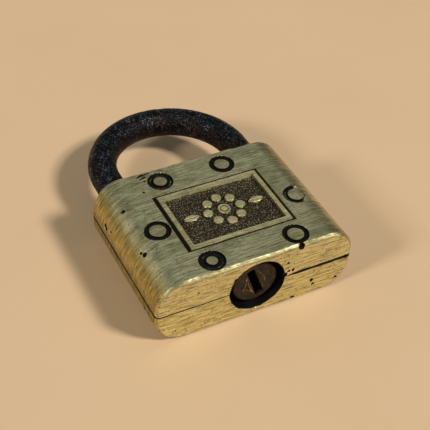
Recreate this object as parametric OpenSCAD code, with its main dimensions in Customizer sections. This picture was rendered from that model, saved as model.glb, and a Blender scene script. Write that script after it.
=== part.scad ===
// Riveted cast-brass padlock with an iron shackle and a turning keyway plug.
// It lies on its back. +Z leaves the front face, +Y points to the shackle, +X to the toe leg.
// The origin is the centre of the back face. All sizes are in millimetres.

/* [Case] */
// Width of the case, across the two legs of the shackle
case_w = 50; // [48:0.5:60]
// Height of the case, from its keyway end to its shackle end
case_h = 37.5; // [36:0.5:45]
// Thickness of the back half, up to the parting plane
back_t = 8.8; // [8.7:0.1:11]
// Thickness of the front half, from the parting plane up
front_t = 8.7; // [8.6:0.1:11]
// Radius of the four long edges
edge_r = 7.3; // [4:0.1:8]
// Chamfer on the upright corners
corner_c = 0.7; // [0.3:0.1:1.5]

/* [Front panel] */
// Width of the groove's outer rectangle
panel_w = 26.9; // [20:0.1:30]
// Height of the groove's outer rectangle
panel_h = 20; // [17:0.1:22]
// Sideways place of the panel's centre
panel_x = 0.3; // [-1:0.1:1]
// Distance of the panel's centre below the middle of the case
panel_drop = 0.65; // [0:0.05:1.5]
// Width of the groove
groove_w = 0.5; // [0.3:0.05:1]
// Depth of the groove
groove_d = 0.4; // [0.2:0.05:0.8]
// Width of the flat frame inside the groove
frame_w = 1.3; // [0.8:0.1:2]
// Depth of the sunk panel
recess_d = 0.7; // [0.3:0.05:1]
// Drop of the ornament's top below the face
ornament_drop = 0.12; // [0.05:0.01:0.3]
// Outer radius of the ornament's rosette
rosette_r = 5.5; // [5:0.1:6.5]
// Radius of a petal's round end
petal_r = 1.35; // [1:0.05:1.6]
// Radius of the boss in the middle of the rosette
boss_r = 1.7; // [1:0.1:2]
// Length of the leaf on either side
leaf_len = 4.4; // [3:0.1:5]
// Width of that leaf
leaf_w = 2.2; // [1.4:0.1:2.8]

/* [Rivets] */
// Diameter of the shanks
rivet_d = 3.4; // [2.8:0.1:4.2]
// Diameter of the closed heads
rivet_head_d = 4.3; // [4.2:0.1:5.4]
// Depth of the countersink that the head fills
rivet_flare = 1.4; // [1:0.1:2]
// Outer diameter of the sunk ring around a head
ring_d = 6; // [5.6:0.1:7.2]
// Depth of the sunk ring
ring_depth = 0.35; // [0.2:0.05:0.6]
// Distance of the upper rivets from the shackle end
top_rivet_in = 4.9; // [4.5:0.1:5.9]
// Distance between the upper rivets
top_rivet_gap = 16.3; // [15:0.1:17]
// Distance of the lower rivets from the keyway end
low_rivet_in = 3.75; // [3.5:0.05:4.5]
// Distance between the lower rivets
low_rivet_gap = 21; // [20:0.1:26]
// Sideways place of the middle of the lower pair
low_rivet_x = 0.5; // [-0.5:0.1:0.5]
// Distance of the left middle rivet from the side
left_rivet_in = 8.1; // [7:0.1:10]
// Distance of the right middle rivet from the side
right_rivet_in = 7; // [7:0.1:9]
// Distance of the right middle rivet below the left one
right_rivet_drop = 1.6; // [0:0.1:2]

/* [Shackle] */
// Diameter of the bar
shackle_d = 7.4; // [6:0.1:8.7]
// Distance between the centres of the two legs
leg_gap = 35.6; // [34:0.1:37]
// Sideways place of the middle of the shackle
shackle_x = 0.8; // [0:0.1:1]
// Straight length of the legs above the case
leg_straight = 9.6; // [4:0.1:20]
// Radial clearance of the legs in their bores
leg_play = 0.15; // [0.1:0.01:0.3]
// Bevel on the ends of the legs
leg_bevel = 0.6; // [0.3:0.1:1]
// Diameter of the heel's neck
neck_d = 4.4; // [3.6:0.1:5]
// Height of the foot below the neck
foot_h = 2.2; // [1.5:0.1:3]
// Distance that the toe clears the case by when it is open
toe_free = 0.4; // [0.2:0.1:2]
// Length of the toe below its notch
toe_land = 1.8; // [1.5:0.1:3]

/* [Heel pin and spring] */
// Diameter of the heel pin
heel_pin_d = 2.2; // [1.8:0.1:2.6]
// Length of the heel pin
heel_pin_len = 10; // [8:0.1:12]
// Distance of the heel pin from the shackle end
heel_pin_in = 2.95; // [2.8:0.05:4]
// Height of the shackle spring while the lock is shut
shackle_spring_h = 2.6; // [2.2:0.1:4]
// Diameter of the shackle spring's wire
shackle_spring_wire = 0.4; // [0.3:0.05:0.5]

/* [Keyway plug] */
// Diameter of the round hole in the keyway end
keyhole_d = 13.8; // [13:0.1:14.4]
// Depth of that hole, down to its lip
keyhole_deep = 2.6; // [2:0.1:3.5]
// Diameter of the plug's face
plug_d = 11.2; // [10:0.1:12]
// Depth of the plug's face below the keyway end
plug_sunk = 1.2; // [0.5:0.1:2]
// Thickness of the lip that holds the plug
lip_t = 0.8; // [0.6:0.1:1.2]
// Thickness of the plug's flange
flange_t = 1.8; // [1.2:0.1:2.4]
// Length of the key slot
slot_len = 8.2; // [7:0.1:9.9]
// Width of the key slot
slot_w = 1.85; // [1.5:0.05:2.3]
// Angle that the key slot leans by
key_lean = 20; // [0:1:30]

/* [Wards and cam] */
// Diameter of the round chamber behind the lip
chamber_d = 13.2; // [12.9:0.1:13.6]
// Thickness of a ward plate
ward_t = 0.9; // [0.6:0.1:1.2]
// Thickness of a spacer ring
spacer_t = 1.3; // [1:0.1:1.6]
// Bore of a spacer ring
spacer_bore = 10.4; // [10:0.1:11]
// Diameter of the round hole in a ward plate
ward_bore = 5.4; // [4.5:0.1:6]
// Width of the lugs that keep the ward plates from turning
lug_w = 2; // [1.4:0.1:3]
// Reach of the lugs past the chamber's wall
lug_reach = 1; // [0.6:0.1:1.1]
// Thickness of the cam
cam_t = 2.6; // [2.4:0.1:3.2]
// Depth of the socket that takes the key's tip
socket_deep = 1.2; // [0.8:0.1:1.3]
// Diameter of the crank pin
crank_d = 1.8; // [1.4:0.1:2.2]
// Depth of the crank pin's hole in the cam
crank_set = 1; // [0.6:0.1:1]
// Height of the crank pin above the cam
crank_up = 4.2; // [3.5:0.1:5]

/* [Latch bolt] */
// Travel of the latch bolt
latch_travel = 4.5; // [3.7:0.1:5.4]
// Reach of the nose into the toe
nose_reach = 1; // [0.8:0.05:1.2]
// Height of the nose
nose_h = 2; // [1.5:0.1:2.4]
// Distance of the nose from the shackle end
nose_in = 2.75; // [2.5:0.05:4]
// Thickness of the bolt's plate
bolt_t = 3.2; // [2.4:0.1:4]
// Side clearance of the moving works
play = 0.15; // [0.1:0.01:0.25]
// Clearance of the crank pin in the bolt's talon
talon_play = 0.25; // [0.2:0.01:0.4]
// Width of the bolt's rails around its guide slot
rail_w = 1; // [0.8:0.1:1.2]
// Wall left between two bores or pockets
thin_wall = 0.4; // [0.3:0.1:0.8]
// Diameter of the latch spring's wire
latch_spring_wire = 0.5; // [0.3:0.05:0.6]
// Length of the latch spring when the bolt is drawn back
latch_spring_short = 3.1; // [2.8:0.1:3.6]

/* [Hidden] */
$fn = 72;
more = 1;
case_t = back_t + front_t;
mid_z = back_t;
top_y = case_h / 2;
low_y = -case_h / 2;
panel_y = -panel_drop;

// The shackle's lift follows from the toe's notch: the nose leaves the notch before its floor comes up.
nose_slack = 0.25;
lift = (nose_in + nose_h + nose_slack + toe_land + toe_free) / (1 - nose_reach / latch_travel);
toe_len = lift - toe_free;
bar_r = shackle_d / 2;
bore_r = bar_r + leg_play;
heel_x = shackle_x - leg_gap / 2;
toe_x = shackle_x + leg_gap / 2;
bow_y = top_y + leg_straight;
pin_gap = 0.1;
shoulder_y = top_y - heel_pin_in + heel_pin_d / 2 + pin_gap;
foot_y = shoulder_y - (lift + heel_pin_d + 2 * pin_gap);
foot_r = bar_r - leg_play;
heel_floor_y = foot_y - foot_h - shackle_spring_h;
heel_pin_x = heel_x + neck_d / 2 + leg_play + heel_pin_d / 2;
heel_pin_y = top_y - heel_pin_in;
toe_floor_y = top_y - toe_len - 2 * leg_bevel;
notch_top_y = top_y - nose_in + play;
notch_low_y = top_y - toe_len + toe_land;
notch_x = toe_x - bar_r + nose_reach + 2 * play;

// Rivet places. The middle pair sits just below the heel's bore, and the upper right one guides the bolt.
rivet_r = rivet_d / 2;
middle_y = heel_floor_y - thin_wall - rivet_r;
guide_half = rivet_r + 1.5 * play;
plate_x1 = toe_x - bore_r - 2 * play;
guide_x = plate_x1 - rail_w - latch_travel - guide_half;
guide_y = top_y - top_rivet_in;
RIVETS = [
    [guide_x - top_rivet_gap, guide_y],
    [guide_x, guide_y],
    [-case_w / 2 + left_rivet_in, middle_y],
    [case_w / 2 - right_rivet_in, middle_y - right_rivet_drop],
    [low_rivet_x - low_rivet_gap / 2, low_y + low_rivet_in],
    [low_rivet_x + low_rivet_gap / 2, low_y + low_rivet_in]
];

// The keyway stack, from the keyway end inwards
plug_y = low_y + plug_sunk;
lip_y = low_y + keyhole_deep;
flange_y = lip_y + lip_t;
chamber_r = chamber_d / 2;
ring_r = chamber_r - 0.1;
wards_y = flange_y + play / 2 + flange_t + play / 2;
ward_pitch = ward_t + spacer_t;
wards_end_y = wards_y + 4 * ward_t + 3 * spacer_t;
cam_y = wards_end_y + play;
cam_top_y = cam_y + cam_t;
chamber_end_y = cam_top_y + play;
works_y = chamber_end_y + lip_t;
key_play = 0.1;

// The crank turns through a right angle and carries the bolt by latch_travel.
crank_r = latch_travel / sqrt(2);
crank_x = crank_r * sin(45);
crank_drop = crank_r * cos(45);
crank_top_y = cam_top_y + crank_up;

// The bolt: a plate with a guide slot over one rivet, a nose at the toe and a tail over the crank
bolt_half = bolt_t / 2;
tail_wall = 2.5;
tail_low_y = works_y + 2 * play;
tail_x0 = crank_x - crank_d / 2 - talon_play - tail_wall;
tail_x1 = crank_x + crank_d / 2 + talon_play + tail_wall;
tail_top_y = crank_top_y + tail_wall;
tail_deep = crank_r + crank_d / 2 + 2 * talon_play;
plate_low_y = crank_top_y + 2 * talon_play;
plate_top_y = guide_y - guide_half - rail_w;
latch_spring_len = latch_spring_short + latch_travel;
plate_x0 = heel_x + bore_r + thin_wall + latch_spring_len + play;
rail_x0 = guide_x - guide_half - rail_w;
rail_top_y = guide_y + guide_half + rail_w;
nose_x = toe_x - bar_r + nose_reach;
nose_top_y = top_y - nose_in;
spring_y = (plate_low_y + plate_top_y) / 2;
spigot_r = 0.8;
spigot_len = 2.2;

module along_y(x, y, z = mid_z) {
    translate([x, y, z]) rotate([-90, 0, 0]) children();
}

// ---- Case ----

module case_outline() {
    translate([-case_w / 2 + edge_r, 0]) square([case_w - 2 * edge_r, case_t]);
    translate([-case_w / 2, edge_r]) square([case_w, case_t - 2 * edge_r]);
    for (x = [-1, 1], z = [edge_r, case_t - edge_r])
        translate([x * (case_w / 2 - edge_r), z]) circle(edge_r);
}

module case_blank(z0, z1) {
    side = corner_c * sqrt(2);
    difference() {
        translate([0, top_y, 0]) rotate([90, 0, 0]) linear_extrude(case_h) intersection() {
            case_outline();
            translate([-case_w, z0]) square([2 * case_w, z1 - z0]);
        }
        for (x = [-1, 1], y = [-1, 1])
            translate([x * case_w / 2, y * case_h / 2, case_t / 2])
                rotate([0, 0, 45]) cube([side, side, case_t + 2 * more], center = true);
    }
}

module rivet() {
    head_r = rivet_head_d / 2;
    rotate_extrude() polygon([
        [0, 0], [head_r, 0], [rivet_r, rivet_flare],
        [rivet_r, case_t - rivet_flare], [head_r, case_t], [0, case_t]
    ]);
}

// The countersunk hole of a rivet, with the sunk ring around each head
module rivet_hole() {
    head_r = rivet_head_d / 2;
    ring_r = ring_d / 2;
    floor_r = head_r - (head_r - rivet_r) * ring_depth / rivet_flare;
    rotate_extrude() polygon([
        [0, -more], [ring_r, -more], [ring_r, ring_depth], [floor_r, ring_depth],
        [rivet_r, rivet_flare], [rivet_r, case_t - rivet_flare],
        [floor_r, case_t - ring_depth], [ring_r, case_t - ring_depth],
        [ring_r, case_t + more], [0, case_t + more]
    ]);
}

module panel_outline(inset) {
    translate([panel_x, panel_y]) square([panel_w - 2 * inset, panel_h - 2 * inset], center = true);
}

// A plain rosette of eight round petals, with a pointed leaf on either side
module ornament() {
    petal_out = rosette_r - petal_r;
    leaf_x = rosette_r + leaf_len / 2 + 0.6;
    arc_r = (pow(leaf_len / 2, 2) + pow(leaf_w / 2, 2)) / leaf_w;
    arc_out = arc_r - leaf_w / 2;
    translate([panel_x, panel_y]) {
        circle(boss_r);
        for (a = [0:45:315]) rotate(a) translate([petal_out, 0]) circle(petal_r);
        for (x = [-1, 1]) translate([x * leaf_x, 0]) intersection() {
            translate([0, arc_out]) circle(arc_r);
            translate([0, -arc_out]) circle(arc_r);
        }
    }
}

module front_relief() {
    translate([0, 0, case_t - groove_d]) linear_extrude(groove_d + more) difference() {
        panel_outline(0);
        panel_outline(groove_w);
    }
    translate([0, 0, case_t - ornament_drop]) linear_extrude(ornament_drop + more)
        panel_outline(groove_w + frame_w);
    translate([0, 0, case_t - recess_d]) linear_extrude(recess_d) difference() {
        panel_outline(groove_w + frame_w);
        ornament();
    }
}

// Everything that the two halves are hollowed out by, on both sides of the parting plane
module works_space() {
    along_y(heel_x, heel_floor_y) cylinder(h = top_y - heel_floor_y + more, r = bore_r);
    along_y(toe_x, toe_floor_y) cylinder(h = top_y - toe_floor_y + more, r = bore_r);
    translate([heel_pin_x, heel_pin_y, mid_z - heel_pin_len / 2]) cylinder(h = heel_pin_len, d = heel_pin_d);
    along_y(0, low_y - more) cylinder(h = keyhole_deep + more, d = keyhole_d);
    along_y(0, lip_y - more) cylinder(h = lip_t + 2 * more, r = plug_d / 2 + 0.1);
    along_y(0, flange_y) cylinder(h = chamber_end_y - flange_y, r = chamber_r);
    along_y(0, chamber_end_y - more)
        cylinder(h = lip_t + 2 * more, r = crank_r + crank_d / 2 + 2 * talon_play);
    lug_space();
    bolt_space();
}

module lug_space() {
    reach = chamber_r + lug_reach + play;
    translate([-reach, wards_y - play / 2, mid_z - lug_w / 2 - play])
        cube([2 * reach, wards_end_y - wards_y + play, lug_w + 2 * play]);
}

module bolt_space() {
    half = bolt_half + play;
    tail_z = mid_z - tail_deep - play;
    left = heel_x + bore_r + thin_wall;
    right = toe_x - bore_r;
    upper_left = rail_x0 - latch_travel - 2 * play;
    translate([left, plate_low_y - play, mid_z - half])
        cube([right - left - play, plate_top_y + 2 * play - plate_low_y, 2 * half]);
    translate([upper_left, plate_top_y - more, mid_z - half])
        cube([right - play - upper_left, rail_top_y + play - plate_top_y + more, 2 * half]);
    translate([right - more, nose_top_y - nose_h - play, mid_z - half])
        cube([bore_r + more, nose_h + 2 * play, 2 * half]);
    tail_w = tail_x1 - tail_x0 + latch_travel + 2 * play;
    translate([tail_x0 - latch_travel - play, works_y, tail_z])
        cube([tail_w, tail_top_y + play - works_y, mid_z + half - tail_z]);
}

module front_half() {
    color("#b3ac72") difference() {
        case_blank(mid_z, case_t);
        front_relief();
        for (p = RIVETS) translate([p[0], p[1], 0]) rivet_hole();
        works_space();
    }
}

module back_half() {
    color("#c2a550") difference() {
        case_blank(0, mid_z);
        for (p = RIVETS) translate([p[0], p[1], 0]) rivet_hole();
        works_space();
    }
}

module case_rivets() {
    color("#a8a47c") intersection() {
        for (p = RIVETS) translate([p[0], p[1], 0]) rivet();
        case_blank(0, case_t);
    }
}

// ---- Shackle ----

// The toe leg, downwards from the bow
module toe_leg() {
    len = bow_y - top_y + toe_len;
    rotate_extrude() polygon([
        [0, 0], [bar_r, 0], [bar_r, len - leg_bevel], [bar_r - leg_bevel, len], [0, len]
    ]);
}

// The heel leg, downwards from the bow: full bar, neck and foot
module heel_leg() {
    neck_r = neck_d / 2;
    shoulder = bow_y - shoulder_y;
    foot = bow_y - foot_y;
    rotate_extrude() polygon([
        [0, 0], [bar_r, 0], [bar_r, shoulder], [neck_r, shoulder], [neck_r, foot], [foot_r, foot],
        [foot_r, foot + foot_h - leg_bevel], [foot_r - leg_bevel, foot + foot_h], [0, foot + foot_h]
    ]);
}

module shackle() {
    color("#24221f") difference() {
        union() {
            translate([shackle_x, bow_y, mid_z]) rotate_extrude(angle = 180)
                translate([leg_gap / 2, 0]) circle(bar_r);
            translate([toe_x, bow_y, mid_z]) rotate([90, 0, 0]) toe_leg();
            translate([heel_x, bow_y, mid_z]) rotate([90, 0, 0]) heel_leg();
        }
        translate([toe_x - shackle_d, notch_low_y, mid_z - shackle_d])
            cube([notch_x - toe_x + shackle_d, notch_top_y - notch_low_y, 2 * shackle_d]);
    }
}

module heel_pin() {
    color("#6a655d") translate([heel_pin_x, heel_pin_y, mid_z - heel_pin_len / 2])
        cylinder(h = heel_pin_len, d = heel_pin_d);
}

// A wire coil along +Z from 0 to len, with its radius going from r0 to r1
module coil(turns, r0, r1, len, wire) {
    sides = 6;
    per_turn = 14;
    rings = turns * per_turn;
    points = [
        for (i = [0:rings]) let (
            t = i / rings,
            a = 360 * turns * t,
            r = r0 + (r1 - r0) * t,
            z = wire / 2 + (len - wire) * t
        ) for (s = [0:sides - 1]) let (b = 360 * s / sides, out = r + wire / 2 * cos(b))
            [out * cos(a), out * sin(a), z + wire / 2 * sin(b)]
    ];
    walls = [
        for (i = [0:rings - 1], s = [0:sides - 1]) let (n = (s + 1) % sides, k = i * sides)
            [k + s, k + sides + s, k + sides + n, k + n]
    ];
    start = [for (s = [0:sides - 1]) s];
    finish = [for (s = [sides - 1:-1:0]) rings * sides + s];
    polyhedron(points, concat(walls, [start, finish]), convexity = 8);
}

module shackle_spring() {
    gap = 0.05;
    color("#5a554c") along_y(heel_x, heel_floor_y + gap)
        coil(4, foot_r - 0.5, foot_r - 2.3, shackle_spring_h - 2 * gap, shackle_spring_wire);
}

// ---- Keyway ----

module key_slot(grown = 0) {
    rotate([0, 0, -key_lean]) square([slot_w + grown, slot_len + grown], center = true);
}

module keyway_plug() {
    color("#3a2f22") along_y(0, plug_y) difference() {
        union() {
            cylinder(h = flange_y + play / 2 - plug_y + flange_t / 2, d = plug_d);
            translate([0, 0, flange_y + play / 2 - plug_y]) cylinder(h = flange_t, r = ring_r);
        }
        translate([0, 0, -more]) linear_extrude(flange_y - plug_y + flange_t + 3 * more) key_slot();
    }
}

module ward_plate(i) {
    y = wards_y + (i - 1) * ward_pitch;
    color("#8d8458") along_y(0, y) linear_extrude(ward_t) difference() {
        union() {
            circle(ring_r);
            square([2 * (chamber_r + lug_reach), lug_w], center = true);
        }
        circle(d = ward_bore);
        key_slot(2 * key_play);
    }
}

module ward_spacer(i) {
    y = wards_y + (i - 1) * ward_pitch + ward_t;
    color("#a39a5c") along_y(0, y) linear_extrude(spacer_t) difference() {
        circle(ring_r);
        circle(d = spacer_bore);
    }
}

module cam() {
    color("#7d7448") along_y(0, cam_y) difference() {
        cylinder(h = cam_t, r = ring_r);
        translate([0, 0, -more]) linear_extrude(socket_deep + more) key_slot(2 * key_play);
        translate([crank_x, crank_drop, cam_t - crank_set]) cylinder(h = crank_set + more, d = crank_d);
    }
}

module crank_pin() {
    color("#6a655d") along_y(crank_x, cam_top_y - crank_set, mid_z - crank_drop)
        cylinder(h = crank_set + crank_up, d = crank_d);
}

// ---- Latch ----

module latch_bolt() {
    color("#75705f") difference() {
        union() {
            translate([plate_x0, plate_low_y, mid_z - bolt_half])
                cube([plate_x1 - plate_x0, plate_top_y - plate_low_y, bolt_t]);
            translate([rail_x0, plate_top_y - more, mid_z - bolt_half])
                cube([plate_x1 - rail_x0, rail_top_y - plate_top_y + more, bolt_t]);
            translate([plate_x1 - more, nose_top_y - nose_h, mid_z - bolt_half])
                cube([nose_x - plate_x1 + more, nose_h, bolt_t]);
            translate([tail_x0, tail_low_y, mid_z - tail_deep])
                cube([tail_x1 - tail_x0, tail_top_y - tail_low_y, tail_deep + bolt_half]);
            translate([plate_x0 - spigot_len, spring_y, mid_z]) rotate([0, 90, 0])
                cylinder(h = spigot_len + more, r = spigot_r);
        }
        translate([guide_x - guide_half, guide_y - guide_half, mid_z - bolt_t])
            cube([latch_travel + 2 * guide_half, 2 * guide_half, 2 * bolt_t]);
        translate([crank_x - crank_d / 2 - talon_play, tail_low_y - more, mid_z - 2 * tail_deep])
            cube([crank_d + 2 * talon_play, plate_low_y - tail_low_y + more, 3 * tail_deep]);
    }
}

module latch_spring() {
    mean_r = bolt_half - latch_spring_wire / 2;
    color("#5a554c") translate([plate_x0 - latch_spring_len, spring_y, mid_z]) rotate([0, 90, 0])
        coil(5, mean_r, mean_r, latch_spring_len, latch_spring_wire);
}

front_half();
back_half();
case_rivets();
shackle();
heel_pin();
shackle_spring();
keyway_plug();
ward_plate(1);  // ward_plate_1
ward_plate(2);  // ward_plate_2
ward_plate(3);  // ward_plate_3
ward_plate(4);  // ward_plate_4
ward_spacer(1);  // ward_spacer_1
ward_spacer(2);  // ward_spacer_2
ward_spacer(3);  // ward_spacer_3
cam();
crank_pin();
latch_bolt();
latch_spring();
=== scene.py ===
import math

import bmesh
import bpy
import numpy as np
from mathutils import Matrix, Vector


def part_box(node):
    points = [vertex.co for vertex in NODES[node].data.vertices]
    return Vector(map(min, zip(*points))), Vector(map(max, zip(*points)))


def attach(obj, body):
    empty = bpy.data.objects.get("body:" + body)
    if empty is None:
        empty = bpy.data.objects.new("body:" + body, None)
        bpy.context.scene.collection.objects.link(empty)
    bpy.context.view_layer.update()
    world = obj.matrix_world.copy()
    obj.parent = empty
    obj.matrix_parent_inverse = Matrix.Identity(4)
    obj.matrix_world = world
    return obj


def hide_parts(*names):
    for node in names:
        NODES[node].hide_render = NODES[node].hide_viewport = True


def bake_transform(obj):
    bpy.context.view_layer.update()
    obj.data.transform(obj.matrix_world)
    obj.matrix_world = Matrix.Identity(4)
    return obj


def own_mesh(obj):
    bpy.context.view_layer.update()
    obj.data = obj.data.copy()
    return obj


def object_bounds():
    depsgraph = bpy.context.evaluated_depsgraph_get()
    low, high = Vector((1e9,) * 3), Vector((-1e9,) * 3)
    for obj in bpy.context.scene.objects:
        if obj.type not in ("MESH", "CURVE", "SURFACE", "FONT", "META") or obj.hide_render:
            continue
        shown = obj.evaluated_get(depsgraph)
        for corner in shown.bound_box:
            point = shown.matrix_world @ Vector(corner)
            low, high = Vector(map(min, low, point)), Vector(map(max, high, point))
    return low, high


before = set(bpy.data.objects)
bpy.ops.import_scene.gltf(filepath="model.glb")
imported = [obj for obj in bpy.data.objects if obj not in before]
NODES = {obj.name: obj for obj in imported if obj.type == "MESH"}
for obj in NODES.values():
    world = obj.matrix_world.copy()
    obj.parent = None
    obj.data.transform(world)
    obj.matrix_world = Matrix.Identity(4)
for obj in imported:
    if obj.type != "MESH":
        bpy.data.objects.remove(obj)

CAD_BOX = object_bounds()
MM = 0.001


# ---- Sizes in millimetres, from the frame ----

def corners(name):
    """The lowest and highest corner of a node, in millimetres."""
    low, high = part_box(name)
    return np.array(low) / MM, np.array(high) / MM


front_low, front_high = corners("front_half")
back_low, back_high = corners("back_half")
shackle_low, shackle_high = corners("shackle")
plug_low, plug_high = corners("keyway_plug")

HALF_W = front_high[0]
TOP_Y = front_high[1]
LOW_Y = front_low[1]
MID_Z = back_high[2]
FACE_Z = front_high[2]
FRONT_T = FACE_Z - MID_Z
BACK_T = MID_Z - back_low[2]

# The same case and panel as in the frame
EDGE_R = 7.3
PANEL_X = 0.3
PANEL_Y = -0.65
PANEL_HALF_W = 13.45
PANEL_HALF_H = 10.0
GROOVE_W = 0.5
GROOVE_D = 0.4
LEFT_WEAR = 0.3
FRAME_W = 1.3
RECESS_D = 0.7
ORNAMENT_DROP = 0.12
ROSETTE_R = 5.5
PETALS = 8
PETAL_R = 1.35
BOSS_R = 1.7
LEAF_HALF = 2.2
LEAF_HALF_W = 1.1
LEAF_GAP = 0.6
RING_OUT_R = 3.0
RING_DEPTH = 0.35
RIVET_HEAD_R = 2.15
RIVET_SHANK_R = 1.7
RIVET_FLARE = 1.4
KEYHOLE_R = 6.9
PLUG_R = 5.6
KEY_SLOT_LEAN = math.radians(20)
KEY_SLOT_HALF_W = 0.925
KEY_SLOT_HALF_H = 4.1
BAR_R = 3.7
BOW_R = 17.8
BOW_X = 0.8
BOW_Y = shackle_high[1] - BAR_R - BOW_R
BORE_R = 3.85

# Every skin stays this far inside the frame's own surface
SKIN = 0.02

# Depths of the stipple, of the engraved lines and of the plug's dished face
STIPPLE_D = 0.06
ENGRAVED_D = 0.16
DISH_D = 0.12

# Worn roundings: of the case's ends, of the corners of those ends, of the keyhole, of the two bores, of the
# plug's rim and of its key slot
END_EDGE_R = 0.85
END_CORNER_R = 1.3
KEYHOLE_EDGE_R = 0.2
BORE_EDGE_R = 0.3
PLUG_RIM_R = 0.35
SLOT_EDGE_R = 0.22

# Roundings at the parting plane: on the sides, on the keyway end, and where that end gapes on its right and
# is tight on its left
SIDE_LIP = 0.36
END_LIP = 0.17
GAPING_LIP = 0.44
TIGHT_LIP = 0.09

# Every rivet's place, the radius that its button has worn to, and how black its ring is
RIVETS = [
    ((-9.275, 13.85), 1.8, 0.5),
    ((7.025, 13.85), 2.05, 0.62),
    ((-16.9, -1.56), 2.15, 0.6),
    ((18.0, -3.16), 2.15, 0.5),
    ((-10.0, -15.0), 1.5, 0.5),
    ((11.0, -15.0), 2.15, 0.62),
]
# The one whose ring is rubbed clean on its right
RUBBED_RIVET = 3


# ---- Camera ----

def make_camera():
    """A camera above the keyway end's left corner, looking down across the case."""
    place = Vector((-84.41, -148.13, 167.34)) * MM
    ahead = Vector((0.36325, 0.65024, -0.66726)).normalized()
    right = Vector((0.89166, -0.45031, 0.04659))
    up = right.cross(ahead).normalized()
    right = ahead.cross(up)
    data = bpy.data.cameras.new("camera")
    data.sensor_width = 36
    data.lens = 82.4
    data.clip_start = 0.01
    data.clip_end = 10
    camera = bpy.data.objects.new("camera", data)
    turn = Matrix((right, up, -ahead)).transposed()
    camera.matrix_world = Matrix.Translation(place) @ turn.to_4x4()
    bpy.context.scene.collection.objects.link(camera)
    bpy.context.scene.camera = camera


make_camera()


# ---- Numbers and noise ----

def smooth(low, high, value):
    """0 below low, 1 above high, and an even curve between."""
    t = np.clip((value - low) / (high - low), 0, 1)
    return t * t * (3 - 2 * t)


def noise(points, grain, seed, stretch=(1, 1, 1)):
    """Seeded smooth noise from -1 to 1, with lumps grain millimetres across."""
    table = np.random.default_rng(seed).uniform(-1, 1, (32, 32, 32))
    scaled = points / (grain * np.array(stretch)) + 64.5
    cell = np.floor(scaled).astype(int)
    part = scaled - cell
    part = part * part * (3 - 2 * part)
    total = np.zeros(len(points))
    for corner in np.ndindex(2, 2, 2):
        at = (cell + corner) % 32
        weight = np.prod(np.where(corner, part, 1 - part), axis=1)
        total += weight * table[at[:, 0], at[:, 1], at[:, 2]]
    return total


def between(stops, steps):
    """Values from the first stop to the last, through every stop. Each span has its own largest step."""
    values = [stops[0]]
    for low, high, step in zip(stops, stops[1:], steps):
        count = max(1, math.ceil((high - low) / step - 1e-6))
        values += [low + (high - low) * (i + 1) / count for i in range(count)]
    return np.array(values)


# ---- Meshes ----

def grid_faces(index):
    """Quads over a table of vertex numbers."""
    quads = [index[:-1, :-1], index[1:, :-1], index[1:, 1:], index[:-1, 1:]]
    return np.stack(quads, -1).reshape(-1, 4).tolist()


def new_piece(name, points, faces):
    """A mesh object from points in millimetres, with its faces turned outwards."""
    mesh = bpy.data.meshes.new(name)
    mesh.from_pydata((points * MM).tolist(), [], faces)
    shape = bmesh.new()
    shape.from_mesh(mesh)
    bmesh.ops.recalc_face_normals(shape, faces=shape.faces)
    shape.to_mesh(mesh)
    shape.free()
    piece = bpy.data.objects.new(name, mesh)
    bpy.context.scene.collection.objects.link(piece)
    return piece


def welded_copy(node):
    """A closed copy of a node's mesh."""
    mesh = node.data.copy()
    shape = bmesh.new()
    shape.from_mesh(mesh)
    bmesh.ops.remove_doubles(shape, verts=shape.verts, dist=0.0005 * MM)
    shape.to_mesh(mesh)
    shape.free()
    copy = bpy.data.objects.new("tool", mesh)
    bpy.context.scene.collection.objects.link(copy)
    return copy


def keep_inside(piece, node):
    """Trims the piece to what lies in the node, so that its bores and pockets stay open."""
    tool = welded_copy(NODES[node])
    trim = piece.modifiers.new("trim", "BOOLEAN")
    trim.operation = "INTERSECT"
    trim.solver = "MANIFOLD"
    trim.object = tool
    graph = bpy.context.evaluated_depsgraph_get()
    mesh = bpy.data.meshes.new_from_object(piece.evaluated_get(graph))
    piece.modifiers.clear()
    piece.data = mesh
    bpy.data.objects.remove(tool)
    return piece


def shade(piece, sharp_degrees=40):
    """Smooth shading, with the corners that are sharper than the angle kept."""
    shape = bmesh.new()
    shape.from_mesh(piece.data)
    limit = math.radians(sharp_degrees)
    for face in shape.faces:
        face.smooth = True
    for edge in shape.edges:
        edge.smooth = edge.calc_face_angle(0) < limit
    shape.to_mesh(piece.data)
    shape.free()


def points_of(piece):
    """The piece's vertices, in millimetres."""
    flat = np.zeros(len(piece.data.vertices) * 3)
    piece.data.vertices.foreach_get("co", flat)
    return flat.reshape(-1, 3) / MM


def store(piece, name, values):
    """Keeps one number a vertex, from 0 to 1, for the material to read."""
    layer = piece.data.attributes.new(name, "FLOAT", "POINT")
    layer.data.foreach_set("value", np.clip(values, 0, 1).astype(np.float32))


def finish_piece(piece, body, slot, material, *nodes):
    """Gives the piece its material and its body, and hides the nodes that it stands in for.
    The slot is not used.
    """
    piece.data.materials.clear()
    piece.data.materials.append(material)
    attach(piece, body)
    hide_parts(*nodes)


# ---- The case's shape ----

def panel_inside(x, y):
    """Distance inside the groove's outer rectangle. It is negative outside."""
    return np.minimum(PANEL_HALF_W - abs(x - PANEL_X), PANEL_HALF_H - abs(y - PANEL_Y))


def groove_inside(x, y):
    """Distance inside the groove's outer edge. Wear has widened it on the left."""
    left = x - PANEL_X + PANEL_HALF_W + LEFT_WEAR
    return np.minimum(np.minimum(left, PANEL_HALF_W - x + PANEL_X), PANEL_HALF_H - abs(y - PANEL_Y))


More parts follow.
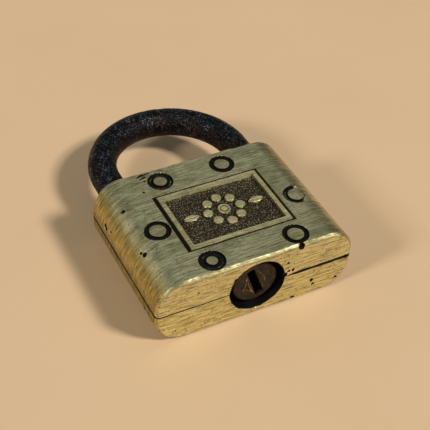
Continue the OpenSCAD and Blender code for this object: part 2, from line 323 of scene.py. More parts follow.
def ornament_inside(x, y):
    """Distance inside the rosette or a leaf. It is negative on the sunk ground."""
    u = x - PANEL_X
    v = y - PANEL_Y
    inside = BOSS_R - np.hypot(u, v)
    petal_out = ROSETTE_R - PETAL_R
    for turn in range(PETALS):
        angle = 2 * math.pi / PETALS * turn
        gap = np.hypot(u - petal_out * math.cos(angle), v - petal_out * math.sin(angle))
        inside = np.maximum(inside, PETAL_R - gap)
    arc_r = (LEAF_HALF ** 2 + LEAF_HALF_W ** 2) / (2 * LEAF_HALF_W)
    leaf_x = ROSETTE_R + LEAF_HALF + LEAF_GAP
    leaf = arc_r - np.hypot(abs(u) - leaf_x, abs(v) + arc_r - LEAF_HALF_W)
    return np.maximum(inside, leaf)


def engraved(x, y):
    """1 on the ring cut into the boss and on the veins of the leaves."""
    u = abs(x - PANEL_X)
    v = abs(y - PANEL_Y)
    ring = 1 - smooth(0.08, 0.2, abs(np.hypot(u, v) - 0.55 * BOSS_R))
    vein = (1 - smooth(0.06, 0.18, v)) * smooth(ROSETTE_R + 1.0, ROSETTE_R + 1.3, u)
    return np.maximum(ring, vein)


def nearest_rivet(x, y):
    """The number of the nearest rivet, by its place in the list."""
    return np.stack([np.hypot(x - at[0], y - at[1]) for at, _, _ in RIVETS]).argmin(0)


def rivet_gap(x, y):
    """Distance from the nearest rivet's middle, and that rivet's button radius."""
    nearest = nearest_rivet(x, y)
    middle = np.array([at for at, _, _ in RIVETS])[nearest]
    button = np.array([radius for _, radius, _ in RIVETS])[nearest]
    return np.hypot(x - middle[:, 0], y - middle[:, 1]), button


def rounded_drop(radius, away):
    """How far a rounded edge lies below its face, at a distance from the edge."""
    short = np.clip(radius - away, 0, radius)
    return radius - np.sqrt(np.maximum(radius * radius - short * short, 0))


# Casting pits and dents: the place, the radius and the depth of each
PITS = [
    # On the keyway end
    ((10.6, LOW_Y, 16.85), 0.75, 0.5),
    ((7.5, LOW_Y, 12.8), 0.3, 0.25),
    ((7.9, LOW_Y, 10.1), 0.35, 0.3),
    ((9.0, LOW_Y, 10.15), 0.35, 0.3),
    ((6.95, LOW_Y, 9.3), 0.6, 0.5),
    ((-5.7, LOW_Y, 12.9), 0.4, 0.4),
    ((14.6, LOW_Y, 4.55), 0.45, 0.4),
    ((15.2, LOW_Y, 3.0), 0.5, 0.4),
    ((9.8, LOW_Y, 0.8), 0.45, 0.4),
    ((21.3, LOW_Y, 2.9), 0.35, 0.3),
    ((-14.9, LOW_Y, 12.8), 0.25, 0.2),
    ((23.2, LOW_Y, 8.8), 0.6, 0.45),
    # On the left side and its long rounded edge
    ((-21.2, 8.3, 16.6), 0.5, 0.35),
    ((-22.1, -6.1, 16.0), 0.6, 0.35),
    ((-22.6, -5.0, 15.7), 0.4, 0.3),
    ((-24.8, 10.35, 11.85), 0.55, 0.4),
    ((-24.85, 9.6, 11.6), 0.45, 0.35),
    ((-24.75, 7.4, 12.1), 0.35, 0.3),
    ((-24.9, -12.2, 6.0), 0.45, 0.35),
    # On the front face
    ((-14.5, 11.7, FACE_Z), 0.35, 0.2),
    ((9.7, 13.5, FACE_Z), 0.3, 0.2),
    ((-12.4, 16.6, FACE_Z), 0.3, 0.15),
    # On the right side, the back face and the shackle end
    ((24.7, 3.2, 12.4), 0.5, 0.4),
    ((23.9, -9.5, 14.2), 0.4, 0.3),
    ((-3.4, 6.1, 0.0), 0.5, 0.3),
    ((8.8, -7.7, 0.0), 0.4, 0.25),
    ((4.6, TOP_Y, 5.1), 0.5, 0.35),
]


def pit_depth(points):
    """Depth of the pits at each point, and 0 to 1 for the soot in them, which reaches a little past each rim
    as painted shade where the rim would glint.
    """
    depth = np.zeros(len(points))
    inside = np.zeros(len(points))
    warp = 1 + 0.3 * noise(points, 0.45, 11)
    for place, radius, deep in PITS:
        gap = np.linalg.norm(points - np.array(place), axis=1) * warp
        share = 1 - smooth(0.4 * radius, radius, gap)
        depth = np.maximum(depth, deep * share)
        # The soot reaches past the rim, as painted shade where the rim would glint.
        reach = max(0.95 * radius, 1.2 * deep)
        inside = np.maximum(inside, 1 - smooth(reach, 1.1 * reach + 0.06, gap))
    return depth, inside


# Scratches on the front face: from one place to another, and how black they are
SCRATCHES = [
    ((-13.9, 17.1), (-10.6, 17.75), 1.0),
    ((-13.4, 16.3), (-11.9, 16.6), 1.0),
    ((-13.0, 15.3), (-12.5, 15.3), 0.9),
    ((-13.2, 17.6), (-12.4, 17.75), 0.9),
    ((9.5, 14.3), (10.3, 14.35), 0.6),
    ((-2.4, 16.4), (0.8, 16.9), 0.5),
    ((-6.1, -12.4), (-3.2, -12.1), 0.55),
    ((-4.9, -17.3), (-1.0, -17.2), 0.5),
    ((14.6, 8.3), (17.9, 8.6), 0.45),
]


def scratch_depth(points):
    """0 to 1 in the scratches of the front face."""
    x, y = points[:, 0], points[:, 1]
    total = np.zeros(len(points))
    ragged = 0.1 * noise(points, 0.5, 13)
    for start, end, black in SCRATCHES:
        line = 1 - smooth(0.12 * black, 0.3 * black, line_distance(x, y, start, end) + ragged)
        total = np.maximum(total, black * line)
    return total * (points[:, 2] > FACE_Z - 4)


def line_distance(x, y, start, end):
    """Distance to a straight line between two places."""
    dx, dy = end[0] - start[0], end[1] - start[1]
    share = np.clip(((x - start[0]) * dx + (y - start[1]) * dy) / (dx * dx + dy * dy), 0, 1)
    return np.hypot(x - start[0] - share * dx, y - start[1] - share * dy)


def parting_lip(points):
    """Radius of the rounding at the parting plane."""
    low_end = smooth(-LOW_Y - 1.0, -LOW_Y - 0.2, -points[:, 1])
    right = smooth(7, 11, points[:, 0])
    left_closed = smooth(-13, -6, points[:, 0]) * (1 - right)
    on_end = END_LIP + (GAPING_LIP - END_LIP) * right - (END_LIP - TIGHT_LIP) * left_closed
    return (SIDE_LIP + (on_end - SIDE_LIP) * low_end) * (1 + 0.25 * noise(points, 2.2, 12))


def outline(travel, half_t):
    """Point and outward direction along the case's section, up one side, over the face and down again."""
    side = half_t - EDGE_R
    arc = math.pi / 2 * EDGE_R
    flat = 2 * (HALF_W - EDGE_R)
    middle = side + arc + flat / 2
    mirrored = np.where(travel > middle, 1.0, -1.0)
    s = np.where(travel > middle, 2 * middle - travel, travel)
    angle = np.clip((s - side) / EDGE_R, 0, math.pi / 2)
    x = HALF_W - EDGE_R + EDGE_R * np.cos(angle) - np.clip(s - side - arc, 0, None)
    h = np.minimum(s, side) + EDGE_R * np.sin(angle)
    return x * mirrored, h, np.cos(angle) * mirrored, np.sin(angle)


def inside_outline(x, h, half_t):
    """Distance inside the case's section, with the outward direction to its nearest edge."""
    qx = abs(x) - (HALF_W - EDGE_R)
    qh = h - (half_t - EDGE_R)
    both = (qx > 0) & (qh > 0)
    out = np.maximum(np.hypot(qx, qh), 1e-9)
    flat_side = ~both & (qx > qh)
    inside = np.where(both, EDGE_R - out, np.where(flat_side, HALF_W - abs(x), half_t - h))
    nx = np.where(both, qx / out, np.where(flat_side, 1.0, 0.0)) * np.sign(x)
    nh = np.where(both, qh / out, np.where(flat_side, 0.0, 1.0))
    return inside, nx, nh


# Mesh spacings: on plain faces, at edges, on the panel, and on the case's two ends
PLAIN = 0.22
FINE = 0.1
DETAIL = 0.168
KEYWAY_END = 0.2
SHACKLE_END = 0.45
# How far a block reaches past the parting plane, and the widths of a worn step and of finely meshed bands
BELOW = 0.8
SLOPE = 0.12
LIP_BAND = 0.5
END_BAND = 0.9


def panel_stops(middle, half):
    """Places of the frame's edges and of its worn steps, from one side of the panel to the other."""
    edges = [-SLOPE, 0, GROOVE_W, GROOVE_W + SLOPE, GROOVE_W + FRAME_W - SLOPE, GROOVE_W + FRAME_W]
    return [middle - half + e for e in edges] + [middle + half - e for e in reversed(edges)]


def case_spacing(half_t, panel):
    """Places round the section and along the case, close together at its edges and on the panel."""
    side = half_t - EDGE_R
    arc = math.pi / 2 * EDGE_R
    total = 2 * side + 2 * arc + 2 * (HALF_W - EDGE_R)
    across_stops = []
    along_stops = []
    spans = [PLAIN]
    if panel:
        across_stops = [total / 2 + x for x in panel_stops(PANEL_X, PANEL_HALF_W)]
        along_stops = panel_stops(PANEL_Y, PANEL_HALF_H)
        spans += [DETAIL] * (len(along_stops) - 1) + [PLAIN]
    rise = [-BELOW, 0, LIP_BAND, side + arc]
    fall = [total - place for place in reversed(rise)]
    rise_steps = [BELOW / 2, FINE, PLAIN]
    travel = between(rise + across_stops + fall, rise_steps + spans + rise_steps[::-1])
    along = between(
        [LOW_Y, LOW_Y + END_BAND, *along_stops, TOP_Y - END_BAND, TOP_Y],
        [FINE, *spans, FINE],
    )
    return travel, along


def case_block(name, up, half_t, panel):
    """One half of the case as a closed block, a little past the parting plane. up is 1 for the front."""
    travel, along = case_spacing(half_t, panel)
    x, h, nx, nh = outline(travel, half_t)
    columns = len(travel)
    rows = len(along)
    wrap = np.stack([
        np.repeat(x, rows), np.tile(along, columns), np.repeat(h, rows),
        np.repeat(nx, rows), np.repeat(nh, rows), np.zeros(columns * rows),
    ], 1)
    index = np.arange(columns * rows).reshape(columns, rows)

    # The two ends, each a sheet that narrows to a foot below the parting plane
    foot_h = -2 * BELOW
    foot_x = np.linspace(-HALF_W + BELOW, HALF_W - BELOW, columns)
    tables = [index]
    parts = [wrap]
    count = columns * rows
    for y, edge, middle_step in ((LOW_Y, 0, KEYWAY_END), (TOP_Y, rows - 1, SHACKLE_END)):
        stops = [foot_h, 0, LIP_BAND, half_t - END_BAND, half_t]
        heights = between(stops, [BELOW, FINE, middle_step, FINE])
        share = (heights - foot_h) / (half_t - foot_h)
        cx = foot_x[:, None] + (x - foot_x)[:, None] * share[:-1]
        ch = foot_h + (h - foot_h)[:, None] * share[:-1]
        inside, cnx, cnh = inside_outline(cx.ravel(), ch.ravel(), half_t)
        size = cx.size
        cap = [cx.ravel(), np.full(size, y), ch.ravel(), cnx, cnh, np.maximum(inside, 0)]
        parts.append(np.stack(cap, 1))
        table = np.empty((columns, len(heights)), int)
        table[:, :-1] = count + np.arange(size).reshape(cx.shape)
        table[:, -1] = index[:, edge]
        count += size
        tables.append(table)

    data = np.concatenate(parts)
    on_cap = np.arange(len(data)) >= columns * rows
    points = place_on_case(data, on_cap, up, half_t, panel)
    faces = sum((grid_faces(table) for table in tables), [])

    # One face closes the block underneath
    low, top = tables[1:]
    floor = list(index[0, :]) + list(top[0, -2::-1]) + list(top[1:, 0]) + list(top[-1, 1:-1])
    floor += list(index[-1, ::-1]) + list(low[-1, -2::-1]) + list(low[-2::-1, 0]) + list(low[0, 1:-1])
    faces.append([int(i) for i in floor])
    return new_piece(name, points, faces)


def place_on_case(data, on_cap, up, half_t, panel):
    """Rounds, dents and cuts the block's points. The columns of data are x, y, height, outward x, outward
    height, and distance inside the section."""
    x, y, h, nx, nh, inset = data.T

    # The corner between a face and an end is rounded from both sides, and meets half way
    end_way = np.sign(y)
    to_end = TOP_Y - abs(y)
    outer = np.stack([x + nx * inset, end_way * TOP_Y, MID_Z + up * (h + nh * inset)], 1)
    radius = END_EDGE_R + 0.25 * noise(outer, 3.0, 21) + 0.2 * noise(outer, 0.9, 22)
    corner = smooth(HALF_W - 2.6, HALF_W - 0.7, abs(outer[:, 0]))
    radius += (END_CORNER_R - radius) * corner
    away = np.where(on_cap, inset, to_end)
    turn = math.pi / 4 * np.clip(1 - away / radius, 0, 1)
    near = radius * (1 - np.sin(turn))
    far = radius * (1 - np.cos(turn))
    rounding = away < radius
    section_in = np.where(rounding, np.where(on_cap, near - inset, far), 0)
    end_in = np.where(rounding, np.where(on_cap, far, near - to_end), 0)
    section_share = np.where(on_cap, np.sin(turn), np.cos(turn))
    end_share = np.where(on_cap, np.cos(turn), np.sin(turn))
    px = x - nx * section_in
    py = y - end_way * end_in
    ph = h - nh * section_in
    out = np.stack([nx * section_share, end_way * end_share, up * nh * section_share], 1)
    points = np.stack([px, py, MID_Z + up * ph], 1)

    # Wear takes the skin down, most at its pits, lips and rims
    depth = SKIN + 0.03 * (1 + noise(points, 4.0, 23)) + 0.008 * (1 + noise(points, 0.8, 24))
    pits, _ = pit_depth(points)
    depth += pits
    depth += rounded_drop(parting_lip(points), ph)
    at_key = np.hypot(px, MID_Z - points[:, 2]) - KEYHOLE_R
    key_edge = KEYHOLE_EDGE_R + 0.1 * noise(points, 1.1, 25)
    depth += np.where(y < LOW_Y + 1, rounded_drop(key_edge, at_key), 0)
    for leg_x in (BOW_X - BOW_R, BOW_X + BOW_R):
        at_bore = np.hypot(px - leg_x, MID_Z - points[:, 2]) - BORE_R
        depth += np.where(y > TOP_Y - 1, rounded_drop(BORE_EDGE_R, at_bore), 0)
    points -= out * depth[:, None]

    # The rings and the panel are cut straight down
    gap = trim_to_rings(points)
    ring_floor = RING_DEPTH + SKIN + 0.04 * (1 + noise(points, 0.5, 27))
    drop = np.where(gap < RING_OUT_R, ring_floor, 0)
    if panel:
        drop = np.maximum(drop, panel_drop(points))
    height = up * (points[:, 2] - MID_Z)
    points[:, 2] = MID_Z + up * np.minimum(height, half_t - drop)
    return points


def ring_soot_and_shade(points):
    """How black each rivet's ring is. Painted shade makes the walls blackest, over the soot, and one ring is
    rubbed clean on its right.
    """
    x, y = points[:, 0], points[:, 1]
    gap, button = rivet_gap(x, y)
    middle = (button + RING_OUT_R) / 2
    wall_shade = smooth(0.1, 0.4, abs(gap - middle))
    blotch = 0.5 + 0.5 * noise(points, 0.9, 42)
    base = np.array([soil_and_shade for _, _, soil_and_shade in RIVETS])[nearest_rivet(x, y)]
    soil_and_shade = base + 0.35 * wall_shade + 0.3 * blotch
    (right_x, _), _, _ = RIVETS[RUBBED_RIVET]
    rubbed = smooth(0.3, 1.6, x - right_x) * (nearest_rivet(x, y) == RUBBED_RIVET)
    return np.clip(soil_and_shade, 0, 1) * (1 - 0.75 * rubbed)


def trim_to_rings(points):
    """Slides points near a ring's wall along the face, so that the wall is round and steep."""
    near_wall = 0.16
    lip_gap = 0.03
    foot_gap = 0.06
    x, y = points[:, 0], points[:, 1]
    gap, _ = rivet_gap(x, y)
    centre = np.array([at for at, _, _ in RIVETS])[nearest_rivet(x, y)]
    out = gap - RING_OUT_R
    wall = abs(out) < near_wall
    goal = np.where(wall, RING_OUT_R + np.where(out > 0, lip_gap, -foot_gap), gap)
    slide = goal / np.maximum(gap, 1e-6)
    points[:, :2] = centre + (points[:, :2] - centre) * slide[:, None]
    return goal


def panel_drop(points):
    """Depth of the groove, the sunk ground and the ornament below the face."""
    x, y = points[:, 0], points[:, 1]
    deep = panel_inside(x, y)
    groove = smooth(-SLOPE, 0, groove_inside(x, y)) * (1 - smooth(GROOVE_W, GROOVE_W + SLOPE, deep))
    inner = GROOVE_W + FRAME_W
    sunk = smooth(inner - SLOPE, inner, deep)
    raised = smooth(0.02, 0.2, ornament_inside(x, y))
    stipple = noise(points, 0.42, 31) + 0.5 * noise(points, 0.22, 32)
    ground = RECESS_D + 0.1 + STIPPLE_D * stipple
    worn_top = ORNAMENT_DROP + SKIN + 0.03 * (1 + noise(points, 1.5, 33)) + ENGRAVED_D * engraved(x, y)
    relief = ground + (worn_top - ground) * raised
    frame_wear = 0.03 * (1 + noise(points, 2.5, 34)) * smooth(0, GROOVE_W, deep)
    groove_floor = GROOVE_D + SKIN + 0.03 * (1 + noise(points, 0.6, 35))
    return np.maximum.reduce([groove * groove_floor, sunk * relief, frame_wear])


def mark_panel(points, below, on_face, dirt_and_shade, worn):
    """Lays the panel's soot, wear and painted shade over the rest, with a painted highlight along the top
    of its sunk ground, and tells where that ground is sunk.
    """
    x, y = points[:, 0], points[:, 1]
    deep = panel_inside(x, y)
    inner = GROOVE_W + FRAME_W
    past_groove = smooth(GROOVE_W - 0.04, GROOVE_W + 0.18, deep)
    in_groove = smooth(-0.18, 0.04, groove_inside(x, y)) * (1 - past_groove)
    on_panel = smooth(inner - 0.1, inner + 0.05, deep) * smooth(0.0, 0.2, 1.5 - below)
    # The soot climbs the ornament's slopes, partly painted shade where they would glint.
    low_ground = smooth(ORNAMENT_DROP + 0.08, ORNAMENT_DROP + 0.2, below)
    # The soot thins towards the top of the sunk ground: a painted highlight of its lit upper wall.
    painted_top_highlight = smooth(PANEL_HALF_H - 5, PANEL_HALF_H - 2, y - PANEL_Y)
    dirt_and_shade = np.maximum(dirt_and_shade, 0.8 * in_groove * on_face)
    dirt_and_shade = np.maximum(dirt_and_shade * (1 - on_panel), on_panel * (0.92 - 0.28 * painted_top_highlight) * low_ground)
    raised = smooth(0.1, 0.3, ornament_inside(x, y)) * on_panel
    edge = smooth(0.5, 0.62, deep) * (1 - smooth(1.7, 1.85, deep)) * on_face
    worn = np.maximum.reduce([worn, 0.6 * raised, 0.45 * edge])
    return dirt_and_shade, worn, on_panel * low_ground


def mark_case(piece, half_t, up):
    """Where soot and painted shade lie on a half of the case, and where its worn edges take a duller tone,
    partly wear and partly painted shade on their highlight.
    """
    points = points_of(piece)
    x, y, z = points.T
    height = up * (z - MID_Z)
    inset, _, _ = inside_outline(x, height, half_t)
    to_end = TOP_Y - abs(y)
    _, in_pit = pit_depth(points)
    below = half_t - height
    gap, _ = rivet_gap(x, y)
    on_face = smooth(0.0, 0.08, 1.2 - below)
    wobble = 0.12 * noise(points, 0.8, 41)
    # The ring's black reaches a little over its lip: painted shade where the lip would glint.
    ring = (1 - smooth(RING_OUT_R + 0.03, RING_OUT_R + 0.24, gap)) * ring_soot_and_shade(points)
    seam = 1 - smooth(0.7, 1.35, height / parting_lip(points))
    # The wall and lip of the keyhole are black: soot, and painted shade inside the hole.
    at_key = np.hypot(x, z - MID_Z) - KEYHOLE_R
    keyhole = np.where(y < LOW_Y + 4, 1 - smooth(0.04, 0.3, at_key + wobble), 0)
    # Walls deep inside the case are black: soot, and painted shade in its bores and pockets.
    buried = smooth(0.5, 0.9, np.minimum(inset, to_end))
    scratch = scratch_depth(points)
    dirt_and_shade = np.maximum.reduce([ring, seam, keyhole, in_pit, buried, scratch])
    # The end edges count as worn. Their duller tone is partly wear and partly painted shade that tones down
    # their highlight.
    worn = 1 - smooth(0.25, 0.75, np.maximum(inset, to_end) + wobble)
    sunk = np.zeros(len(points))
    if up > 0:
        dirt_and_shade, worn, sunk = mark_panel(points, below, on_face, dirt_and_shade, worn)
        # Towards the keyway end the face is darkened: painted shade in its reflection.
        painted_low_shade = smooth(8.5, 14, -y) * (inset > 0.5)
        dirt_and_shade = np.maximum(dirt_and_shade, 0.38 * on_face * painted_low_shade)
    store(piece, "sunk", sunk)
    store(piece, "dirt_and_shade", dirt_and_shade)
    store(piece, "worn", worn)


# ---- Rivets ----

def face_height(x):
    """Height of the front face over the parting plane's level 0, at a place across the case."""
    over = np.clip(abs(x) - (HALF_W - EDGE_R), 0, EDGE_R)
    return FACE_Z - EDGE_R + np.sqrt(EDGE_R ** 2 - over ** 2)


def make_rivets():
    """Six peened rivets, each one solid from its front button to its back one."""
    sides = 64
    rounding = 0.18
    hollow_r = 0.12
    clearance = 0.04
    shoulder = RING_DEPTH + 0.06
    under = shoulder + 0.05
    seat = RIVET_HEAD_R - (RIVET_HEAD_R - RIVET_SHANK_R) * under / RIVET_FLARE
    all_points = []
    faces = []
    for (cx, cy), button, _ in RIVETS:
        flat_r = button - rounding
        profile = [(RIVET_SHANK_R, RIVET_FLARE), (seat, under), (seat, shoulder), (button, shoulder)]
        for angle in np.linspace(math.pi / 2, 0, 6):
            profile.append((flat_r + rounding * math.sin(angle), rounding * (1 - math.cos(angle))))
        profile += [(r, 0) for r in np.linspace(flat_r, hollow_r, 14)[1:]]
        rows = profile[::-1] + [(r, FACE_Z - drop) for r, drop in profile]
        start = sum(len(p) for p in all_points)
        angles = np.arange(sides) * 2 * math.pi / sides
        flat = np.array([(cx + r * math.cos(a), cy + r * math.sin(a), z) for r, z in rows for a in angles])
        wobble = 1 - 0.03 * (1 + noise(flat, 1.3, 51))
        flat[:, 0] = cx + (flat[:, 0] - cx) * wobble
        flat[:, 1] = cy + (flat[:, 1] - cy) * wobble
        sink = 0.05 + 0.045 * noise(flat, 1.1, 52) + 0.02 * noise(flat, 0.4, 53)
        front = smooth(FACE_Z - 1, FACE_Z - 0.3, flat[:, 2])
        back = 1 - smooth(0.3, 1, flat[:, 2])
        flat[:, 2] += sink * (back - front)
        highest = face_height(flat[:, 0]) - clearance
        flat[:, 2] = np.clip(flat[:, 2], FACE_Z - highest, highest)
        all_points.append(flat)
        index = start + np.arange(len(flat)).reshape(len(rows), sides)
        index = np.concatenate([index, index[:, :1]], 1)
        faces += grid_faces(index)
        for lid in (index[0, :-1], index[-1, :-1]):
            faces.append([int(i) for i in lid])
    piece = new_piece("rivets_peened", np.concatenate(all_points), faces)
    shade(piece, 50)
    points = points_of(piece)
    gap, button = rivet_gap(points[:, 0], points[:, 1])
    # Soot on each button's rounded rim, partly painted shade where the rim would glint.
    edge = smooth(-0.32, -0.12, gap - button + 0.06 * noise(points, 0.7, 54))
    store(piece, "dirt_and_shade", edge)
    store(piece, "worn", 0.3 * (1 - edge))
    store(piece, "sunk", np.zeros(len(points)))
    return piece


# ---- Shackle ----

def make_shackle():
    """The bar's centre line is two legs and a half ring. Corrosion has eaten into its skin."""
    step = 0.24
    sides = 96
    leg = between([shackle_low[1] - 1, TOP_Y - 2, BOW_Y], [0.6, step])
    turn = between([0, math.pi * BOW_R], [step])[1:] / BOW_R
    toe = [(BOW_X + BOW_R, y, 0.0) for y in leg]
    bow = [(BOW_X + BOW_R * math.cos(a), BOW_Y + BOW_R * math.sin(a), a) for a in turn]
    heel = [(BOW_X - BOW_R, y, math.pi) for y in leg[-2::-1]]
    line = np.array(toe + bow + heel)
    around = np.arange(sides) * 2 * math.pi / sides
    out = np.stack([np.cos(line[:, 2]), np.sin(line[:, 2]), np.zeros(len(line))], 1)
    rise = np.array([0.0, 0.0, 1.0])
    ways = np.cos(around)[None, :, None] * out[:, None, :] + np.sin(around)[None, :, None] * rise
    centre = np.stack([line[:, 0], line[:, 1], np.full(len(line), MID_Z)], 1)
    flat = (centre[:, None, :] + BAR_R * ways).reshape(-1, 3)
    depth, _, _ = shackle_wear(flat)
    flat -= ways.reshape(-1, 3) * depth[:, None]
    index = np.arange(len(flat)).reshape(len(line), sides)
    faces = grid_faces(np.concatenate([index, index[:, :1]], 1))
    for lid in (index[0], index[-1]):
        faces.append([int(i) for i in lid])
    piece = keep_inside(new_piece("shackle_bar", flat, faces), "shackle")
    shade(piece, 55)
    _, pit, rust = shackle_wear(points_of(piece))
    store(piece, "pit", pit)
    store(piece, "rust", rust)
    return piece


def shackle_wear(points):
    """Depth of the corroded skin, how far into a pit each point is, and where rust shows."""
    lumps = noise(points, 3.2, 61)
    small = noise(points, 1.0, 62)
    tiny = noise(points, 0.45, 63)
    pit = smooth(0.15, 0.6, small + 0.35 * tiny)
    depth = SKIN + 0.02 * (1 + lumps) + 0.07 * pit + 0.012 * (1 + tiny)
    above_bend = np.maximum(points[:, 1] - BOW_Y, 0)
    inner = BOW_R - np.hypot(points[:, 0] - BOW_X, above_bend)
    rust = smooth(0.5, 1.5, 0.8 * noise(points, 2.0, 64) + 0.35 * inner)
    return depth, pit, rust


# ---- Keyway plug ----

# Lines that keys have worn on the plug's face, each as places across and up
KEY_MARKS = [
    [(0.2, 12.7), (1.1, 11.4), (2.0, 10.3), (2.5, 9.0), (2.3, 8.3)],
    [(1.8, 7.7), (2.1, 6.2), (1.6, 6.0)],
    [(-2.25, 11.5), (-2.25, 10.2), (-2.45, 8.7), (-3.1, 7.1), (-2.3, 7.25), (-0.55, 6.1)],
    [(-1.9, 9.2), (-1.2, 7.3), (-0.5, 6.0), (0.45, 4.5), (0.8, 5.0)],
]


def mark_distance(x, z):
    """Distance to the nearest worn line."""
    nearest = np.full(len(x), 9.0)
    for line in KEY_MARKS:
        for start, end in zip(line, line[1:]):
            nearest = np.minimum(nearest, line_distance(x, z, start, end))
    return nearest


def make_plug():
    """A block with a worn face, trimmed to the turned plug."""
    step = 0.14
    reach = plug_high[0] + 0.3
    face_y = plug_low[1]
    ticks = between([-reach, reach], [step])
    count = len(ticks)
    x, z = (a.ravel() for a in np.meshgrid(ticks, MID_Z + ticks, indexing="ij"))
    front = np.stack([x, np.full(len(x), face_y), z], 1)
    out = np.hypot(x, z - MID_Z)
    burr = 1 - smooth(0.05, 0.22, mark_distance(x, z) + 0.06 * noise(front, 0.5, 71))
    dish = DISH_D + 0.05 * noise(front, 1.6, 72) + 0.04 * noise(front, 0.6, 73)
    slot_edge = rounded_drop(SLOT_EDGE_R, slot_distance(x, z))
    rim = rounded_drop(PLUG_RIM_R, PLUG_R - out)
    front[:, 1] += SKIN + dish * (1 - burr) + slot_edge + rim
    back = front.copy()
    back[:, 1] = plug_high[1] + 1
    index = np.arange(count * count).reshape(count, count)
    faces = grid_faces(index) + grid_faces(index + count * count)
    for edge in (index[0, :], index[-1, :], index[:, 0], index[:, -1]):
        faces += grid_faces(np.stack([edge, edge + count * count]))
    block = new_piece("plug_turned", np.concatenate([front, back]), faces)
    piece = keep_inside(block, "keyway_plug")
    shade(piece)
    points = points_of(piece)
    x, y, z = points.T
    on_face = 1 - smooth(face_y + 0.5, face_y + 0.8, y)
    bright = 1 - smooth(0.0, 0.16, mark_distance(x, z) + 0.09 * noise(points, 0.5, 71))
    out = np.hypot(x, z - MID_Z)
    rim = smooth(PLUG_R - 0.6, PLUG_R - 0.15, out + 0.2 * noise(points, 0.9, 74))
    store(piece, "worn", on_face * np.maximum(bright, 0.35 * rim))
    store(piece, "dirt_and_shade", 1 - on_face * smooth(0.0, 0.5, slot_distance(x, z)))
    return piece


def slot_distance(x, z):
    """Distance outside the key slot, which leans."""
    rise = z - MID_Z
    across = x * math.cos(KEY_SLOT_LEAN) + rise * math.sin(KEY_SLOT_LEAN)
    up = rise * math.cos(KEY_SLOT_LEAN) - x * math.sin(KEY_SLOT_LEAN)
    dx = abs(across) - KEY_SLOT_HALF_W
    dz = abs(up) - KEY_SLOT_HALF_H
    return np.hypot(np.maximum(dx, 0), np.maximum(dz, 0)) + np.minimum(np.maximum(dx, dz), 0)


# ---- Materials ----

# Settings of nodes that ease one range into another, and of nodes that lay one colour over another. The first
# take a value as input 0, its range as 1 and 2, and the range that it becomes as 3 and 4. The second take the
# upper colour's share as input 0, the lower colour as 6 and the upper one as 7.
EASED = {"interpolation_type": "SMOOTHSTEP"}
COLOURS = {"data_type": "RGBA", "output": 2}


def linear(colour):
    """An sRGB hex colour as linear red, green, blue and alpha."""
    parts = [int(colour[i:i + 2], 16) / 255 for i in (1, 3, 5)]
    return [p / 12.92 if p <= 0.04045 else ((p + 0.055) / 1.055) ** 2.4 for p in parts] + [1.0]


def scale(size):
    """Scale of a pattern whose lumps are this many millimetres across."""
    return 1 / (size * MM)


def add(tree, kind, inputs=None, output=0, **settings):
    """Adds a node with its settings and gives one output. Each input is a value or another node's output."""
    node = tree.nodes.new("ShaderNode" + kind)
    for name, value in settings.items():
        setattr(node, name, value)
    for name, value in (inputs or {}).items():
        if isinstance(value, bpy.types.NodeSocket):
            tree.links.new(value, node.inputs[name])
        else:
            node.inputs[name].default_value = value
    return node.outputs[output] if node.outputs else None


def blank_material(name):
    """A material with an empty node tree, and the places on the object for its patterns."""
    material = bpy.data.materials.new(name)
    material.use_nodes = True
    tree = material.node_tree
    tree.nodes.clear()
    return material, tree, add(tree, "TexCoord", output="Object")


def surface(tree, base, layers, inputs, bumps):
    """The finished surface. Layers are shares and colours, laid over the base colour in turn. Bumps are
    heights with their depths in millimetres."""
    colour = linear(base)
    for share, tint in layers:
        tint = linear(tint) if isinstance(tint, str) else tint
        colour = add(tree, "Mix", {0: share, 6: colour, 7: tint}, **COLOURS)
    normal = {}
    for height, depth in bumps:
        bump = {"Height": height, "Distance": depth * MM, "Strength": 1.0, **normal}
        normal = {"Normal": add(tree, "Bump", bump)}
    shader = add(tree, "BsdfPrincipled", {"Base Color": colour, **inputs, **normal})
    add(tree, "OutputMaterial", {"Surface": shader})


def facing(tree, axis, most=1.0):
    """How much the surface faces along X, Y or Z, by the object's own axes, from 0 to most."""
    normal = add(tree, "TexCoord", output="Normal")
    along = add(tree, "SeparateXYZ", {0: normal}, output=axis)
    along = add(tree, "Math", {0: along}, operation="ABSOLUTE")
    return add(tree, "MapRange", {0: along, 1: 0.45, 2: 0.85, 4: most}, **EASED)


def brushed(tree, place, width):
    """Lines that run across the case, on its faces and round its long edges, and across its two ends. Real
    ones are finer than 0.1 mm and are drawn wider, so that they show."""
    lines = []
    for stretch in ((0.09, 1, 0.14), (0.08, 0.3, 1)):
        drawn = add(tree, "Mapping", {"Vector": place, "Scale": stretch})
        pattern = {"Vector": drawn, "Scale": scale(width), "Detail": 5.0, "Roughness": 0.7}
        lines.append(add(tree, "TexNoise", pattern))
    return add(tree, "Mix", {0: facing(tree, 1), 2: lines[0], 3: lines[1]}, data_type="FLOAT")


